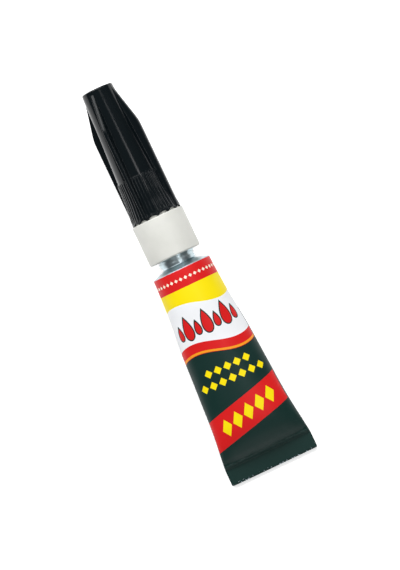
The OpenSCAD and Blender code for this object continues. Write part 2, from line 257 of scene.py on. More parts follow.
def grown(tree, base, values, material):
    """The plain mesh that a tree makes of a base mesh, with these input values."""
    carrier = bpy.data.objects.new(tree.name, base)
    bpy.context.scene.collection.objects.link(carrier)
    modifier = carrier.modifiers.new(tree.name, "NODES")
    modifier.node_group = tree
    sockets = {
        item.name: item.identifier for item in tree.interface.items_tree if item.in_out == "INPUT"
    }
    for label, value in values.items():
        modifier[sockets[label]] = value
    modifier[sockets["Material"]] = material
    shown = carrier.evaluated_get(bpy.context.evaluated_depsgraph_get())
    mesh = bpy.data.meshes.new_from_object(shown)
    bpy.data.objects.remove(carrier)
    return mesh


def lathe_tree():
    """Turns an outline about the axis: its X is the radius, and its Y the height."""
    tree, given = new_tree("lathe", {"Sides": 128})
    outline = add(tree, "GeometryNodeMeshToCurve", [given["Geometry"]])
    upright = add(tree, "GeometryNodeTransform", {"Geometry": outline, "Scale": (1, -1, 1)})
    tiny = {"Resolution": given["Sides"], "Radius": 0.0001}
    circle = add(tree, "GeometryNodeCurvePrimitiveCircle", tiny)
    path = add(tree, "GeometryNodeSetCurveNormal", {"Curve": circle}, mode="Z_UP")
    solid = add(tree, "GeometryNodeCurveToMesh", {"Curve": path, "Profile Curve": upright})
    end_tree(tree, solid, given["Material"])
    return tree


LATHE = lathe_tree()


def turned(name, outline, material, sides=128):
    """A solid turned about the axis from a closed outline of (radius, height) points."""
    flat = bpy.data.meshes.new(name)
    edges = [(i, (i + 1) % len(outline)) for i in range(len(outline))]
    flat.from_pydata([(r, z, 0) for r, z in outline], edges, [])
    return grown(LATHE, flat, {"Sides": sides}, material)


# %% [markdown]
# The tube's skin starts as a round aluminium can and is pressed flat at the open end, after
# filling. Metal this thin bends but hardly stretches, so every section keeps the same length
# round it: where the tube gets flatter, it must get wider. That rule alone gives the outline. A
# box with soft edges could be sculpted instead, but it would miss the slight curve of the sides.
# Here each ring is an ellipse whose half-width is worked out from its half-height, and the
# print's coordinates are real millimetres round and down the metal, as they were when the can was
# printed, before it was pressed.

# %% Sections of the tube's body
TUBE_R = 6.75  # the round end
GIRTH = 2 * math.pi * TUBE_R
WALL = 0.12  # metal, ink and lacquer together
FOLD_W = 20.6
LEAF_T = 0.4  # two walls and the seal between them
FOLD_R = 0.24  # bend of the fold, at the middle of the leaf
EDGE_R = 0.35  # rounding of the shoulder's edge
TABLE_GAP = 0.015  # how far the skin stays above the table
BELLY_GAP = 0.04  # and how much further the middle of the body does
LENS_SHARE = 0.02  # how much wider than an ellipse the pressed part is, being slightly pointed
BODY_HEIGHT_SHARES = [  # (share of the way down the body, share of the round end's height)
    (0, 1), (0.085, 0.98), (0.2, 0.93), (0.3, 0.86), (0.4, 0.79),
    (0.59, 0.70), (0.81, 0.58), (0.91, 0.46), (0.97, 0.32), (1, 0.2),
]


def half_height(s):
    """Half the body's height at a distance s below the shoulder's edge."""
    return TUBE_R * curve_at(BODY_HEIGHT_SHARES, s / BODY_L)


def ellipse_girth(a, b):
    """Length round an ellipse."""
    return math.pi * (3 * (a + b) - math.sqrt((3 * a + b) * (a + 3 * b)))


def half_width(b):
    """Half-width at which an ellipse of half-height b has the tube's girth."""
    low, high = TUBE_R / 2, GIRTH / 3
    for _ in range(30):
        middle = (low + high) / 2
        low, high = (low, middle) if ellipse_girth(middle, b) > GIRTH else (middle, high)
    return low


END_B = half_height(BODY_L)
END_STRETCH = (FOLD_W / 2 - LEAF_T / 4) / half_width(END_B)


def body_half_width(s):
    """The girth's half-width, with the lens shape's share and a small fit to the fold's width."""
    b = half_height(s)
    flat = (TUBE_R - b) / (TUBE_R - END_B)
    lens = LENS_SHARE * math.sin(math.pi * flat**1.5) ** 2
    return half_width(b) * (1 + flat**3 * (END_STRETCH - 1) + lens)


def front_shift(s):
    """How far a section moves to the front, so that the body's back runs just above the table."""
    run = max(s - EDGE_R, 0)
    gap = BELLY_GAP * math.sin(math.pi * run / (BODY_L - EDGE_R)) + TABLE_GAP
    return half_height(s) - TUBE_R + run * UP.z / UP.y + gap


print("Body is", round(2 * body_half_width(BODY_L), 2), "mm wide at the fold line")

# %% [markdown]
# Each station of the skin says where its section lies, which way its thickness points, how wide
# and thick it is, and how square its ends are. The stations run down the body, down the slope,
# along the flat leaf, round a tight bend and up the back of the fold. The inner wall uses every
# third of them, one wall's thickness further in.

# %% Stations down the skin
COLUMNS = 192
ELLIPSE = 2  # squareness of an ellipse
SQUARE = 8  # squareness of the leaf, nearly a rectangle
ACROSS = (0, 1, 0)  # direction of the thickness where the tube isn't folded


def skin_stations():
    """(centre y, centre z, direction of the thickness, half-width, half-thickness, squareness)."""
    stations = []
    leaf = (FOLD_W / 2, LEAF_T / 2, SQUARE)
    for r, z in arc(TUBE_R - EDGE_R, -EDGE_R, EDGE_R, 38, 0, 4):
        stations.append((-TABLE_GAP, z, ACROSS, r, r, ELLIPSE))
    for s in np.linspace(EDGE_R, BODY_L, 98)[1:]:
        a, b = body_half_width(s), half_height(s)
        stations.append((-front_shift(s), -s, ACROSS, a, b, ELLIPSE))
    for t in np.linspace(0, 1, 9)[1:]:
        ease = t * t * (3 - 2 * t)
        a = (1 - t) * body_half_width(BODY_L) + t * FOLD_W / 2
        b = (1 - ease) * END_B + ease * LEAF_T / 2
        shift = (1 - ease) * front_shift(BODY_L)
        squareness = ELLIPSE + (SQUARE - ELLIPSE) * t
        stations.append((-shift, -BODY_L - SLOPE_L * t, ACROSS, a, b, squareness))
    turn_z = -(BODY_L + SLOPE_L + FOLD_H) + FOLD_R + LEAF_T / 2
    leaf_l = -BODY_L - SLOPE_L - turn_z
    for t in np.linspace(0, 1, 8)[1:]:
        stations.append((0, turn_z + leaf_l * (1 - t), ACROSS, *leaf))
    for t in np.linspace(0, math.pi, 10)[1:]:
        y, z = FOLD_R * (1 - math.cos(t)), turn_z - FOLD_R * math.sin(t)
        stations.append((y, z, (0, math.cos(t), math.sin(t)), *leaf))
    for t in np.linspace(0, 1, 8)[1:]:
        stations.append((2 * FOLD_R, turn_z + leaf_l * t, (0, -1, 0), *leaf))
    return stations


def section_points(a, b, squareness):
    """Points at equal distances round a section, starting in the middle of its back."""
    t = np.linspace(0, math.pi, 721)
    power = 2 / squareness
    x = a * np.abs(np.sin(t)) ** power
    y = -b * np.sign(np.cos(t)) * np.abs(np.cos(t)) ** power
    x[0] = x[-1] = 0
    along = np.concatenate([[0], np.cumsum(np.hypot(np.diff(x), np.diff(y)))])
    even = np.linspace(0, along[-1], COLUMNS // 2 + 1)
    right = np.stack([np.interp(even, along, x), np.interp(even, along, y)], 1)
    left = right[::-1] * (-1, 1)
    return np.concatenate([left, right[1:-1]])


stations = skin_stations()
print("The skin has", len(stations), "stations of", COLUMNS, "points")

# %% [markdown]
# Foil-thin metal never stays perfect. Filling, crimping and packing leave a few shallow dents and
# some soft creases that run from the corners of the fold into the body. They could be painted
# with a bump map, but dents bend the reflections and the outline too, so they are pressed into
# the mesh: a few hundredths of a millimetre deep, always inwards, from a fixed seed.

# %% Dents and creases
SEED = 7
rng = np.random.default_rng(SEED)
DENTS = [  # (u, v, size, depth)
    (rng.uniform(-9, 9), rng.uniform(7, 38), rng.uniform(2.2, 4.5), rng.uniform(0.03, 0.075))
    for _ in range(9)
]
CREASES = [  # (u and v where it starts, u and v where it ends, depth)
    (-6.4, 37, -9.4, 43, 0.05),
    (6.9, 36, 9.6, 43, 0.06),
    (4.2, 39.5, 6.0, 43.4, 0.04),
]
CREASE_W = 0.45
DENT_LENGTH_SHARE = 1.6


def pressed_in(u, v):
    """Depth in millimetres of the dents and creases at the print's coordinates u and v."""
    depth = np.zeros_like(u)
    for u0, v0, size, deep in DENTS:
        far2 = (u - u0) ** 2 + ((v - v0) / DENT_LENGTH_SHARE) ** 2
        depth += deep * np.exp(-far2 / (2 * (size / 2) ** 2))
    for u0, v0, u1, v1, deep in CREASES:
        length = math.hypot(u1 - u0, v1 - v0)
        along = ((u - u0) * (u1 - u0) + (v - v0) * (v1 - v0)) / length
        off = ((u - u0) * (v1 - v0) - (v - v0) * (u1 - u0)) / length
        fade = np.clip(along / length, 0, 1) * (along < length * 1.15)
        depth += deep * fade * np.exp(-((off / CREASE_W) ** 2))
    return depth


print(len(DENTS), "dents and", len(CREASES), "creases")

# %% [markdown]
# Now the skin itself. Both walls are rings at the stations, and they join at the lip under the
# shoulder and at the cut edge behind the fold, so that the skin is one closed solid with a real
# thickness. A Solidify modifier could thicken a single sheet, but it would fold over itself in
# the tight bend. The print's coordinates are stored with the faces as the skin is built: u runs
# round the tube from the middle of its front, and v runs down it from the lip.


# %% Skin of the tube
def skin_ring(station, inset, v):
    """Points of one ring in space, drawn in by inset and dented."""
    y0, z0, thick, a, b, squareness = station
    flat = section_points(a - inset, b - inset, squareness)
    u = GIRTH * (np.arange(COLUMNS) / COLUMNS - 0.5)
    out = flat / np.array([a, b]) ** 2
    out /= np.linalg.norm(out, axis=1)[:, None]
    if squareness == ELLIPSE:
        flat = flat - out * pressed_in(u, np.full(COLUMNS, v))[:, None]
    x, depth = flat[:, 0], flat[:, 1]
    return np.stack([x, y0 + depth * thick[1], z0 + depth * thick[2]], 1)


def tube_skin_mesh():
    """Outer and inner wall as one closed stack of rings, and the print's length down them."""
    steps = [0] + [math.dist(p[:2], q[:2]) for p, q in zip(stations, stations[1:])]
    v_places = np.cumsum(steps) - stations[0][1]
    outer = [skin_ring(s, 0, v) for s, v in zip(stations, v_places)]
    lip_r = TUBE_R - EDGE_R + 0.25 * math.cos(math.radians(40))
    lip = section_points(lip_r, lip_r, ELLIPSE)
    lip = np.stack([lip[:, 0], lip[:, 1], np.full(COLUMNS, -EDGE_R + 0.16)], 1)
    y, z, *rest = stations[-1]
    cut_edge = skin_ring((y, z + 0.02, *rest), 0.03, v_places[-1])
    kept = [*range(7, len(stations), 3), len(stations) - 1]  # the inner wall's stations
    inner = [skin_ring(stations[i], WALL, v_places[i]) for i in reversed(kept)]
    rings = [lip] + outer + [cut_edge] + inner
    v_rings = np.concatenate([[0], v_places, [v_places[-1]], v_places[kept[::-1]]])
    faces = stack_faces(len(rings), COLUMNS, closed=True)
    mesh = new_mesh("skin", np.concatenate(rings).tolist(), faces)
    layer = mesh.uv_layers.new(name="print")
    for polygon in mesh.polygons:
        columns = [i % COLUMNS for i in polygon.vertices]
        wraps = max(columns) - min(columns) > 1
        for loop, i, column in zip(polygon.loop_indices, polygon.vertices, columns):
            j = COLUMNS if wraps and column == 0 else column
            layer.data[loop].uv = (GIRTH * (j / COLUMNS - 0.5), v_rings[i // COLUMNS])
    return mesh, float(v_places[-1])


skin_mesh, PRINT_L = tube_skin_mesh()
print("The print runs", round(PRINT_L, 1), "mm down the skin")

# %% [markdown]
# Threads follow a path: a ridge that climbs steadily round a cylinder. It could be modelled as a
# stack of rings, but a real thread is one ridge with two ends that fade out. A Geometry Nodes
# tree draws it: a spiral, kept upright, with a small trapezoid swept along it that shrinks at
# both ends. The same tree makes the neck's thread and the spout's, with other numbers in its
# inputs.


# %% Thread tree
def thread_tree():
    """One ridge of a thread: round a root, up by a pitch each turn, fading out at both ends."""
    sizes = {"Root Radius": 3.9, "Ridge": 0.3, "Pitch": 1.5, "Turns": 4.0}
    tree, given = new_tree("thread ridge", {**sizes, "Start": 1.5, "Turned": 0.0})
    rise = add(tree, MATH, [given["Pitch"], given["Turns"]], operation="MULTIPLY")
    spiral = add(
        tree,
        "GeometryNodeCurveSpiral",
        {
            "Resolution": 72,
            "Rotations": given["Turns"],
            "Start Radius": given["Root Radius"],
            "End Radius": given["Root Radius"],
            "Height": rise,
        },
    )
    upright = add(tree, "GeometryNodeSetCurveNormal", {"Curve": spiral}, mode="Z_UP")
    factor = add(tree, "GeometryNodeSplineParameter", out="Factor")
    to_end = add(tree, MATH, [factor, 0.5], operation="PINGPONG")
    turns_in = add(tree, MATH, [to_end, given["Turns"]], operation="MULTIPLY")
    fading = {"Value": turns_in, "From Max": 0.16, "To Min": 0.05, "To Max": 1.0}
    fade = add(tree, "ShaderNodeMapRange", fading, interpolation_type="SMOOTHSTEP")
    faded = add(tree, "GeometryNodeSetCurveRadius", {"Curve": upright, "Radius": fade})
    foot = add(tree, MATH, [given["Pitch"], 0.66], operation="MULTIPLY")
    crest = add(tree, MATH, [given["Pitch"], 0.24], operation="MULTIPLY")
    deep = add(tree, MATH, [given["Ridge"], 2.0], operation="MULTIPLY")
    widths = {"Height": deep, "Bottom Width": foot, "Top Width": crest, "Offset": 0.0}
    profile = add(tree, "GeometryNodeCurvePrimitiveQuadrilateral", widths, mode="TRAPEZOID")
    quarter = {"Geometry": profile, "Rotation": (0, 0, -math.pi / 2)}
    outwards = add(tree, "GeometryNodeTransform", quarter)
    corners = {"Curve": outwards, "Count": 3, "Radius": 0.07}
    rounded = add(tree, "GeometryNodeFilletCurve", corners, mode="POLY")
    sweep = {"Curve": faded, "Profile Curve": rounded, "Fill Caps": True}
    swept = add(tree, "GeometryNodeCurveToMesh", sweep)
    turn = add(tree, "ShaderNodeCombineXYZ", {"Z": given["Turned"]})
    lift = add(tree, "ShaderNodeCombineXYZ", {"Z": given["Start"]})
    stand = {"Geometry": swept, "Translation": lift, "Rotation": turn}
    placed = add(tree, "GeometryNodeTransform", stand)
    end_tree(tree, placed, given["Material"])
    return tree


THREAD = thread_tree()


def thread_mesh(material, **sizes):
    """The ridge of one thread as a plain mesh."""
    values = {label.replace("_", " "): float(value) for label, value in sizes.items()}
    mesh = grown(THREAD, bpy.data.meshes.new("empty"), values, material)
    places = np.array([v.co for v in mesh.vertices])
    crest_r = np.hypot(places[:, 0], places[:, 1]).max()
    low, high = places[:, 2].min(), places[:, 2].max()
    print(f"Thread with a crest radius of {crest_r:.2f}, from height {low:.2f} to {high:.2f}")
    return mesh


# %% [markdown]
# Bare aluminium: the neck and the shoulder's cone aren't printed. The can was punched out of a
# slug and its neck was turned on a lathe, which leaves fine rings. So this is a true metal,
# fairly smooth, with a bump of fine grooves that run round the axis. Real turning lines are a few
# hundredths of a millimetre apart and can't show here, so they are drawn 0.14 mm apart. Handling
# leaves dull patches a few millimetres across, which change the roughness.


# %% Bare aluminium
def turned_aluminium():
    """Impact-extruded aluminium, turned on the neck and cone."""
    material, tree, shader = new_finish("impact_extruded_aluminium", "B6C5CA", 0.34, Metallic=1.0)
    place = standing_place(tree)
    z = add(tree, "ShaderNodeSeparateXYZ", [place], out=2)
    level = add(tree, "ShaderNodeVectorMath", [place, (1, 1, 0)], operation="MULTIPLY")
    radius = add(tree, "ShaderNodeVectorMath", [level], out="Value", operation="LENGTH")
    across = add(tree, MATH, [z, radius], operation="SUBTRACT")
    lines = {"W": across, "Scale": 1 / 0.14, "Detail": 2.0, "Roughness": 0.6}
    rings = add(tree, NOISE, lines, noise_dimensions="1D")
    stains = add(tree, NOISE, {"Vector": place, "Scale": 1 / 2.5, "Detail": 3.0})
    rough = add(tree, "ShaderNodeMapRange", {"Value": stains, "To Min": 0.24, "To Max": 0.38})
    tree.links.new(rough, shader.inputs["Roughness"])
    bump = add(tree, "ShaderNodeBump", {"Strength": 0.35, "Distance": 0.01 * MM, "Height": rings})
    tree.links.new(bump, shader.inputs["Normal"])
    return material


aluminium = turned_aluminium()

# %% [markdown]
# The shoulder and the neck are thick where the skin is thin, because the neck has to take a
# thread. The outline goes up the inside, over the mouth with the membrane's seat, down the neck,
# out along the cone, round the edge and under the printed skin. A turned outline suits it,
# because the real one is turned too.

# %% Shoulder and neck
NECK_TOP_Z = 8.5
NECK_R = 3.9  # root of the thread
NECK_BORE_R = 3.1
CONE_H = 0.85
NECK_PITCH = 1.5
RIDGE = 0.3  # height of both threads' ridges


def neck_outline():
    """Closed outline of the shoulder and neck, from the mouth round to the inside."""
    seat_r, seat_z = NECK_BORE_R + 0.26, NECK_TOP_Z - 0.1
    mouth_round, foot_round = 0.15, 0.25
    under_skin_r = TUBE_R - WALL - 0.02
    outline = [(NECK_BORE_R, seat_z), (seat_r, seat_z), (seat_r, NECK_TOP_Z)]
    outline += arc(NECK_R - mouth_round, NECK_TOP_Z - mouth_round, mouth_round, 90, 0, 4)
    outline += arc(NECK_R + foot_round, CONE_H + 0.22, foot_round, 180, 252, 5)
    outline += arc(TUBE_R - EDGE_R, -EDGE_R, EDGE_R, 72, 32, 5)
    outline += [(under_skin_r, -EDGE_R + 0.02), (under_skin_r, -EDGE_R - 1.0)]
    outline += [(TUBE_R - 0.4, -EDGE_R - 0.8), (NECK_BORE_R + 0.3, 0.3)]
    return outline + [(NECK_BORE_R, 0.6)]


neck_thread = thread_mesh(
    aluminium,
    Root_Radius=NECK_R,
    Ridge=RIDGE,
    Pitch=NECK_PITCH,
    Turns=4.2,
    Start=1.4,
    Turned=-0.35,
)
shapes = [turned("neck", neck_outline(), aluminium), neck_thread]
finish_piece("tube_neck", shapes, aluminium, "tube", ["tube_shell"])

# %% [markdown]
# The print is ink on lacquer: flat colours from rollers, with a clear coat over them. Its design
# is a plain one, made for this part: stripes, a wave, drops of glue and lozenges. It could be an
# image, but masks made from the print's own millimetres stay sharp at any size. Each mask is one
# simple rule about u, round the tube, and v, down it, and is 1 where its ink lies.

# %% Inks and masks
INKS = {
    "red": "D6191A",
    "yellow": "F8E000",
    "white": "F0F2F5",
    "orange": "F39A1E",
    "green": "0A2B27",
    "pale": "F6EBD8",
}


def ink(tree, below, name, *masks):
    """A layer of ink over the layers below, where every mask is 1."""
    whole = masks[0]
    for mask in masks[1:]:
        whole = add(tree, MATH, [whole, mask], operation="MULTIPLY")
    layers = {0: whole, 6: below, 7: hex_colour(INKS[name])}
    return add(tree, "ShaderNodeMix", layers, out=2, data_type="RGBA")


def band(tree, place, low, high):
    """1 where a place lies between two values."""
    return add(tree, MATH, [place, (low + high) / 2, (high - low) / 2], operation="COMPARE")


def lozenges(tree, across, down, middle, pitch, half_w, half_h):
    """A row of lozenges at a pitch across, round a line that lies at middle down the tube."""
    from_one = add(tree, MATH, [across, pitch / 2], operation="PINGPONG")
    x = add(tree, MATH, [from_one, half_w], operation="DIVIDE")
    from_row = add(tree, MATH, [down, middle], operation="SUBTRACT")
    off_row = add(tree, MATH, [from_row], operation="ABSOLUTE")
    y = add(tree, MATH, [off_row, half_h], operation="DIVIDE")
    total = add(tree, MATH, [x, y])
    return add(tree, MATH, [total, 1.0], operation="LESS_THAN")


def drops(tree, across, down, pitch, top, tall, fat):
    """Drops of glue, pointed at the top and round at the foot."""
    from_one = add(tree, MATH, [across, pitch / 2], operation="PINGPONG")
    share = {"Value": down, "From Min": top, "From Max": top + tall}
    t = add(tree, "ShaderNodeMapRange", share)
    rest = add(tree, MATH, [1.0, t], operation="SUBTRACT")
    root = add(tree, MATH, [rest], operation="SQRT")
    swell = add(tree, MATH, [t, root], operation="MULTIPLY")
    wide = add(tree, MATH, [swell, fat], operation="MULTIPLY")
    return add(tree, MATH, [from_one, wide], operation="LESS_THAN")


# %% [markdown]
# The layers go on in the printer's order: the green ground, the stripes, the small motifs, then
# the slanted band. The back stays green. Two margins stay bare, at the shoulder and at the cut
# edge. A tight bend cracks the lacquer, so specks of metal show along the fold. The gloss is
# uneven, because fingers rub it, and a fine bump stands for the lacquer's orange peel.


# %% Print on the tube
# ink, top and foot of each stripe, in millimetres down the tube
STRIPES = (("red", -1, 20), ("yellow", 4.2, 8.2), ("white", 8.2, 17.4), ("orange", 19.4, 19.9))
DROP_PITCH = 4.6
ROWS = ((23.6, 5.75), (26.4, 8.05))  # (place down the tube, half-length of the row)
SLANT = 0.25  # how fast the lower band rises round the tube
MARGIN = 0.25  # bare metal at both ends of the print
BACK_U = 10.0  # where the plain back starts, on both sides of the print's middle
PRINT_MIDDLE = -0.3


def print_colours(tree, u, v):
    """Every ink of the print, one over the other."""
    turn = add(tree, MATH, [u, 2 * math.pi / (GIRTH / 2)], operation="MULTIPLY")
    wave = add(tree, MATH, [turn], operation="SINE")
    rise = {"Value": v, "From Min": 4.2, "From Max": 8.0, "To Max": 1.1}
    swing = add(tree, "ShaderNodeMapRange", rise)
    sway = add(tree, MATH, [wave, swing], operation="MULTIPLY")
    waved = add(tree, MATH, [v, sway], operation="SUBTRACT")

    colour = hex_colour(INKS["green"])
    for name, top, foot in STRIPES:
        colour = ink(tree, colour, name, band(tree, waved, top, foot))
    dots = lozenges(tree, u, v, middle=2.3, pitch=1.15, half_w=0.42, half_h=0.42)
    colour = ink(tree, colour, "pale", dots)

    between_u = add(tree, MATH, [u, DROP_PITCH / 2])
    for grow, name in ((0.28, "green"), (0, "red")):
        lift, longer, wider = 2 * grow, 3 * grow, 2.4 * grow
        big = drops(tree, u, v, DROP_PITCH, top=10.3 - lift, tall=5.0 + longer, fat=2.7 + wider)
        small = drops(
            tree, between_u, v, DROP_PITCH, top=11.9 - lift, tall=2.9 + longer, fat=1.6 + wider
        )
        colour = ink(tree, colour, name, big, band(tree, u, -6.9, 6.9))
        colour = ink(tree, colour, name, small, band(tree, u, -9.2, 9.2))

    for row, edge in ROWS:
        row_shape = lozenges(tree, u, v, row, pitch=2.3, half_w=0.95, half_h=1.0)
        colour = ink(tree, colour, "yellow", row_shape, band(tree, u, -edge, edge))

    slide = add(tree, MATH, [u, SLANT], operation="MULTIPLY")
    slanted = add(tree, MATH, [v, slide])
    colour = ink(tree, colour, "red", band(tree, slanted, 31.0, 38.0))
    bars = lozenges(tree, u, slanted, middle=34.5, pitch=2.9, half_w=1.25, half_h=2.0)
    colour = ink(tree, colour, "yellow", bars, band(tree, u, -7.25, 7.25))

    from_middle = add(tree, MATH, [u, -PRINT_MIDDLE])
    off_middle = add(tree, MATH, [from_middle], operation="ABSOLUTE")
    back_face = add(tree, MATH, [off_middle, BACK_U], operation="GREATER_THAN")
    return ink(tree, colour, "green", back_face, band(tree, v, 13.0, 70.0))


def bare_places(tree, uv, v):
    """1 at both margins and at the lacquer's cracks along the fold's bend."""
    margin = add(tree, MATH, [v, MARGIN], operation="LESS_THAN")
    cut_edge = add(tree, MATH, [v, PRINT_L - MARGIN], operation="GREATER_THAN")
    unprinted = add(tree, MATH, [margin, cut_edge], operation="MAXIMUM")
    bend_v = PRINT_L - FOLD_H
    on_bend = band(tree, v, bend_v - 0.45, bend_v + 0.25)
    # flakes about half a millimetre long round the tube, and shorter down it
    along_bend = add(tree, "ShaderNodeMapping", {"Vector": uv, "Scale": (1.8, 4.5, 1)})
    flakes = add(tree, NOISE, {"Vector": along_bend, "Scale": 1.0, "Detail": 3.0})
    flaked = add(tree, MATH, [flakes, 0.63], operation="GREATER_THAN")
    cracked = add(tree, MATH, [on_bend, flaked], operation="MULTIPLY")
    return add(tree, MATH, [unprinted, cracked], operation="MAXIMUM")


def printed_lacquer():
    """Satin print and clear lacquer on thin aluminium, with bare metal where neither is."""
    material, tree, shader = new_finish(
        "roller_printed_lacquer", INKS["green"], 0.5, Specular_IOR_Level=0.2, Coat_Weight=0.06
    )
    shader.inputs["Coat Roughness"].default_value = 0.3
    uv = add(tree, "ShaderNodeUVMap", uv_map="print")
    u, v = [add(tree, "ShaderNodeSeparateXYZ", [uv], out=i) for i in range(2)]
    bare = bare_places(tree, uv, v)
    metal = {0: bare, 6: print_colours(tree, u, v), 7: hex_colour("AEBAC4")}
    colour = add(tree, "ShaderNodeMix", metal, out=2, data_type="RGBA")
    tree.links.new(colour, shader.inputs["Base Color"])
    tree.links.new(bare, shader.inputs["Metallic"])

    place = add(tree, "ShaderNodeTexCoord", out="Object")
    rubbed = add(tree, NOISE, {"Vector": place, "Scale": 1 / (4.0 * MM), "Detail": 4.0})
    rough = add(tree, "ShaderNodeMapRange", {"Value": rubbed, "To Min": 0.36, "To Max": 0.64})
    tree.links.new(rough, shader.inputs["Roughness"])
    peel = add(tree, NOISE, {"Vector": place, "Scale": 1 / (0.9 * MM), "Detail": 2.0})
    bump = add(tree, "ShaderNodeBump", {"Strength": 0.12, "Distance": 0.02 * MM, "Height": peel})
    tree.links.new(bump, shader.inputs["Normal"])
    return material


lacquer = printed_lacquer()
finish_piece("tube_skin", [skin_mesh], lacquer, "tube", ["tube_shell"], sharp=50)

# %% [markdown]
# White polyethylene: the collar and spout are one soft, slightly waxy moulding. It is never pure
# white, and it has no sharp highlight. A faint unevenness of the surface, as from a mould that
# has made many thousands, keeps it from looking like paper.


# %% White polyethylene
def moulded_polyethylene():
    """Satin low-density polyethylene from a mould."""
    material, tree, shader = new_finish("moulded_polyethylene", "DADAD4", 0.46, IOR=1.51)
    place = add(tree, "ShaderNodeTexCoord", out="Object")
    cloud = add(tree, NOISE, {"Vector": place, "Scale": 1 / (3.0 * MM), "Detail": 3.0})
    tones = {0: cloud, 6: hex_colour("D4D5CE"), 7: hex_colour("E1E1DB")}
    tint = add(tree, "ShaderNodeMix", tones, out=2, data_type="RGBA")
    tree.links.new(tint, shader.inputs["Base Color"])
    grain = add(tree, NOISE, {"Vector": place, "Scale": 1 / (0.35 * MM), "Detail": 2.0})
    bump = add(tree, "ShaderNodeBump", {"Strength": 0.15, "Distance": 0.02 * MM, "Height": grain})
    tree.links.new(bump, shader.inputs["Normal"])
    return material


polyethylene = moulded_polyethylene()

# %% [markdown]
# The nozzle is a cup that screws onto the neck, with a long spout on its roof and a hollow spike
# inside that pierces the membrane. It is one moulding, so it is one turned outline, with round
# edges where the mould had them, and the spout's thread swept on top.

# %% Nozzle
COLLAR_R = 6.0
COLLAR_TOP_Z = COLLAR_Z + 9.4
ROOF_Z = COLLAR_TOP_Z - 1.6  # the inside of the cup
SPOUT_Z = COLLAR_TOP_Z + 1.0  # the top of the flange that the spout stands on
THREAD_TOP_Z = SPOUT_Z + 4.5
COLLAR_BORE_R = 4.28
ORIFICE_R = 0.6
CHANNEL_R = 1.2
SPIKE_R = 1.4
SPOUT_TIP_R = 1.1
SPOUT_FOOT_R = 2.5
SPOUT_ROOT_R = 2.7  # root of the spout's thread
FLANGE_R = 4.5
RING_R = 5.3  # the white ring that shows behind the arches of the cap's rim
SPOUT_PITCH = 1.5


def groove(radius, z, pitch, deep):
    """Outline of one ring groove in a bore, from its lower edge to its upper edge."""
    points = [(radius, z - pitch / 3), (radius + deep, z - pitch / 8)]
    return points + [(radius + deep, z + pitch / 8), (radius, z + pitch / 3)]


def nozzle_outline():
    """Closed outline: channel up, spout down, collar down, bore up and spike down."""
    spike_tip_z = NECK_TOP_Z + 0.15
    narrow_z = SPOUT_TIP_Z - 6
    outline = [(ORIFICE_R, spike_tip_z), (ORIFICE_R, SPOUT_Z), (CHANNEL_R, SPOUT_Z + 0.3)]
    outline += [(CHANNEL_R, narrow_z - CHANNEL_R), (ORIFICE_R, narrow_z)]
    outline += [(ORIFICE_R, SPOUT_TIP_Z - 0.08), (ORIFICE_R + 0.06, SPOUT_TIP_Z)]
    outline += arc(SPOUT_TIP_R - 0.16, SPOUT_TIP_Z - 0.16, 0.16, 90, 3, 4)
    cone_h = THREAD_TOP_Z + 0.5 - SPOUT_TIP_Z
    cone_w = SPOUT_FOOT_R - SPOUT_TIP_R
    outline += [(SPOUT_TIP_R + cone_w * t, SPOUT_TIP_Z + cone_h * t) for t in (0.33, 0.66, 1)]
    outline += [(SPOUT_ROOT_R, THREAD_TOP_Z)]
    outline += arc(SPOUT_ROOT_R + 0.25, SPOUT_Z + 0.25, 0.25, 180, 270, 4)
    outline += arc(FLANGE_R - 0.3, SPOUT_Z - 0.3, 0.3, 90, 0, 5)
    outline += [(FLANGE_R, COLLAR_TOP_Z + 0.85), (RING_R - 0.1, COLLAR_TOP_Z + 0.55)]
    outline += [(RING_R, COLLAR_TOP_Z + 0.45), (RING_R, COLLAR_TOP_Z + 0.04)]
    outline += [(RING_R + 0.04, COLLAR_TOP_Z)]
    outline += arc(COLLAR_R - 0.2, COLLAR_TOP_Z - 0.2, 0.2, 90, 0, 5)
    outline += arc(COLLAR_R - 0.4, COLLAR_Z + 0.4, 0.4, 0, -90, 7)
    outline += [(COLLAR_BORE_R + 0.2, COLLAR_Z), (COLLAR_BORE_R, COLLAR_Z + 0.2)]
    for i in range(5):
        z = COLLAR_Z + 0.9 + i * NECK_PITCH
        outline += groove(COLLAR_BORE_R, z, NECK_PITCH, RIDGE)
    outline += arc(COLLAR_BORE_R - 0.25, ROOF_Z - 0.25, 0.25, 0, 90, 4)
    outline += arc(SPIKE_R + 0.3, ROOF_Z - 0.3, 0.3, 90, 180, 4)
    return outline + [(ORIFICE_R + 0.1, spike_tip_z)]


spout_thread = thread_mesh(
    polyethylene,
    Root_Radius=SPOUT_ROOT_R,
    Ridge=RIDGE,
    Pitch=SPOUT_PITCH,
    Turns=2.6,
    Start=SPOUT_Z + 0.62,
    Turned=0.8,
)
shapes = [turned("nozzle", nozzle_outline(), polyethylene), spout_thread]
finish_piece("nozzle_moulding", shapes, polyethylene, "nozzle", ["nozzle"])

# %% [markdown]
# Black polypropylene: the cap is polished in its mould, so it is nearly black with sharp, narrow
# highlights. Its gloss does all the work, and the colour hardly matters. A very fine bump breaks
# the highlights just enough, and dust and handling make it a touch rougher in places.


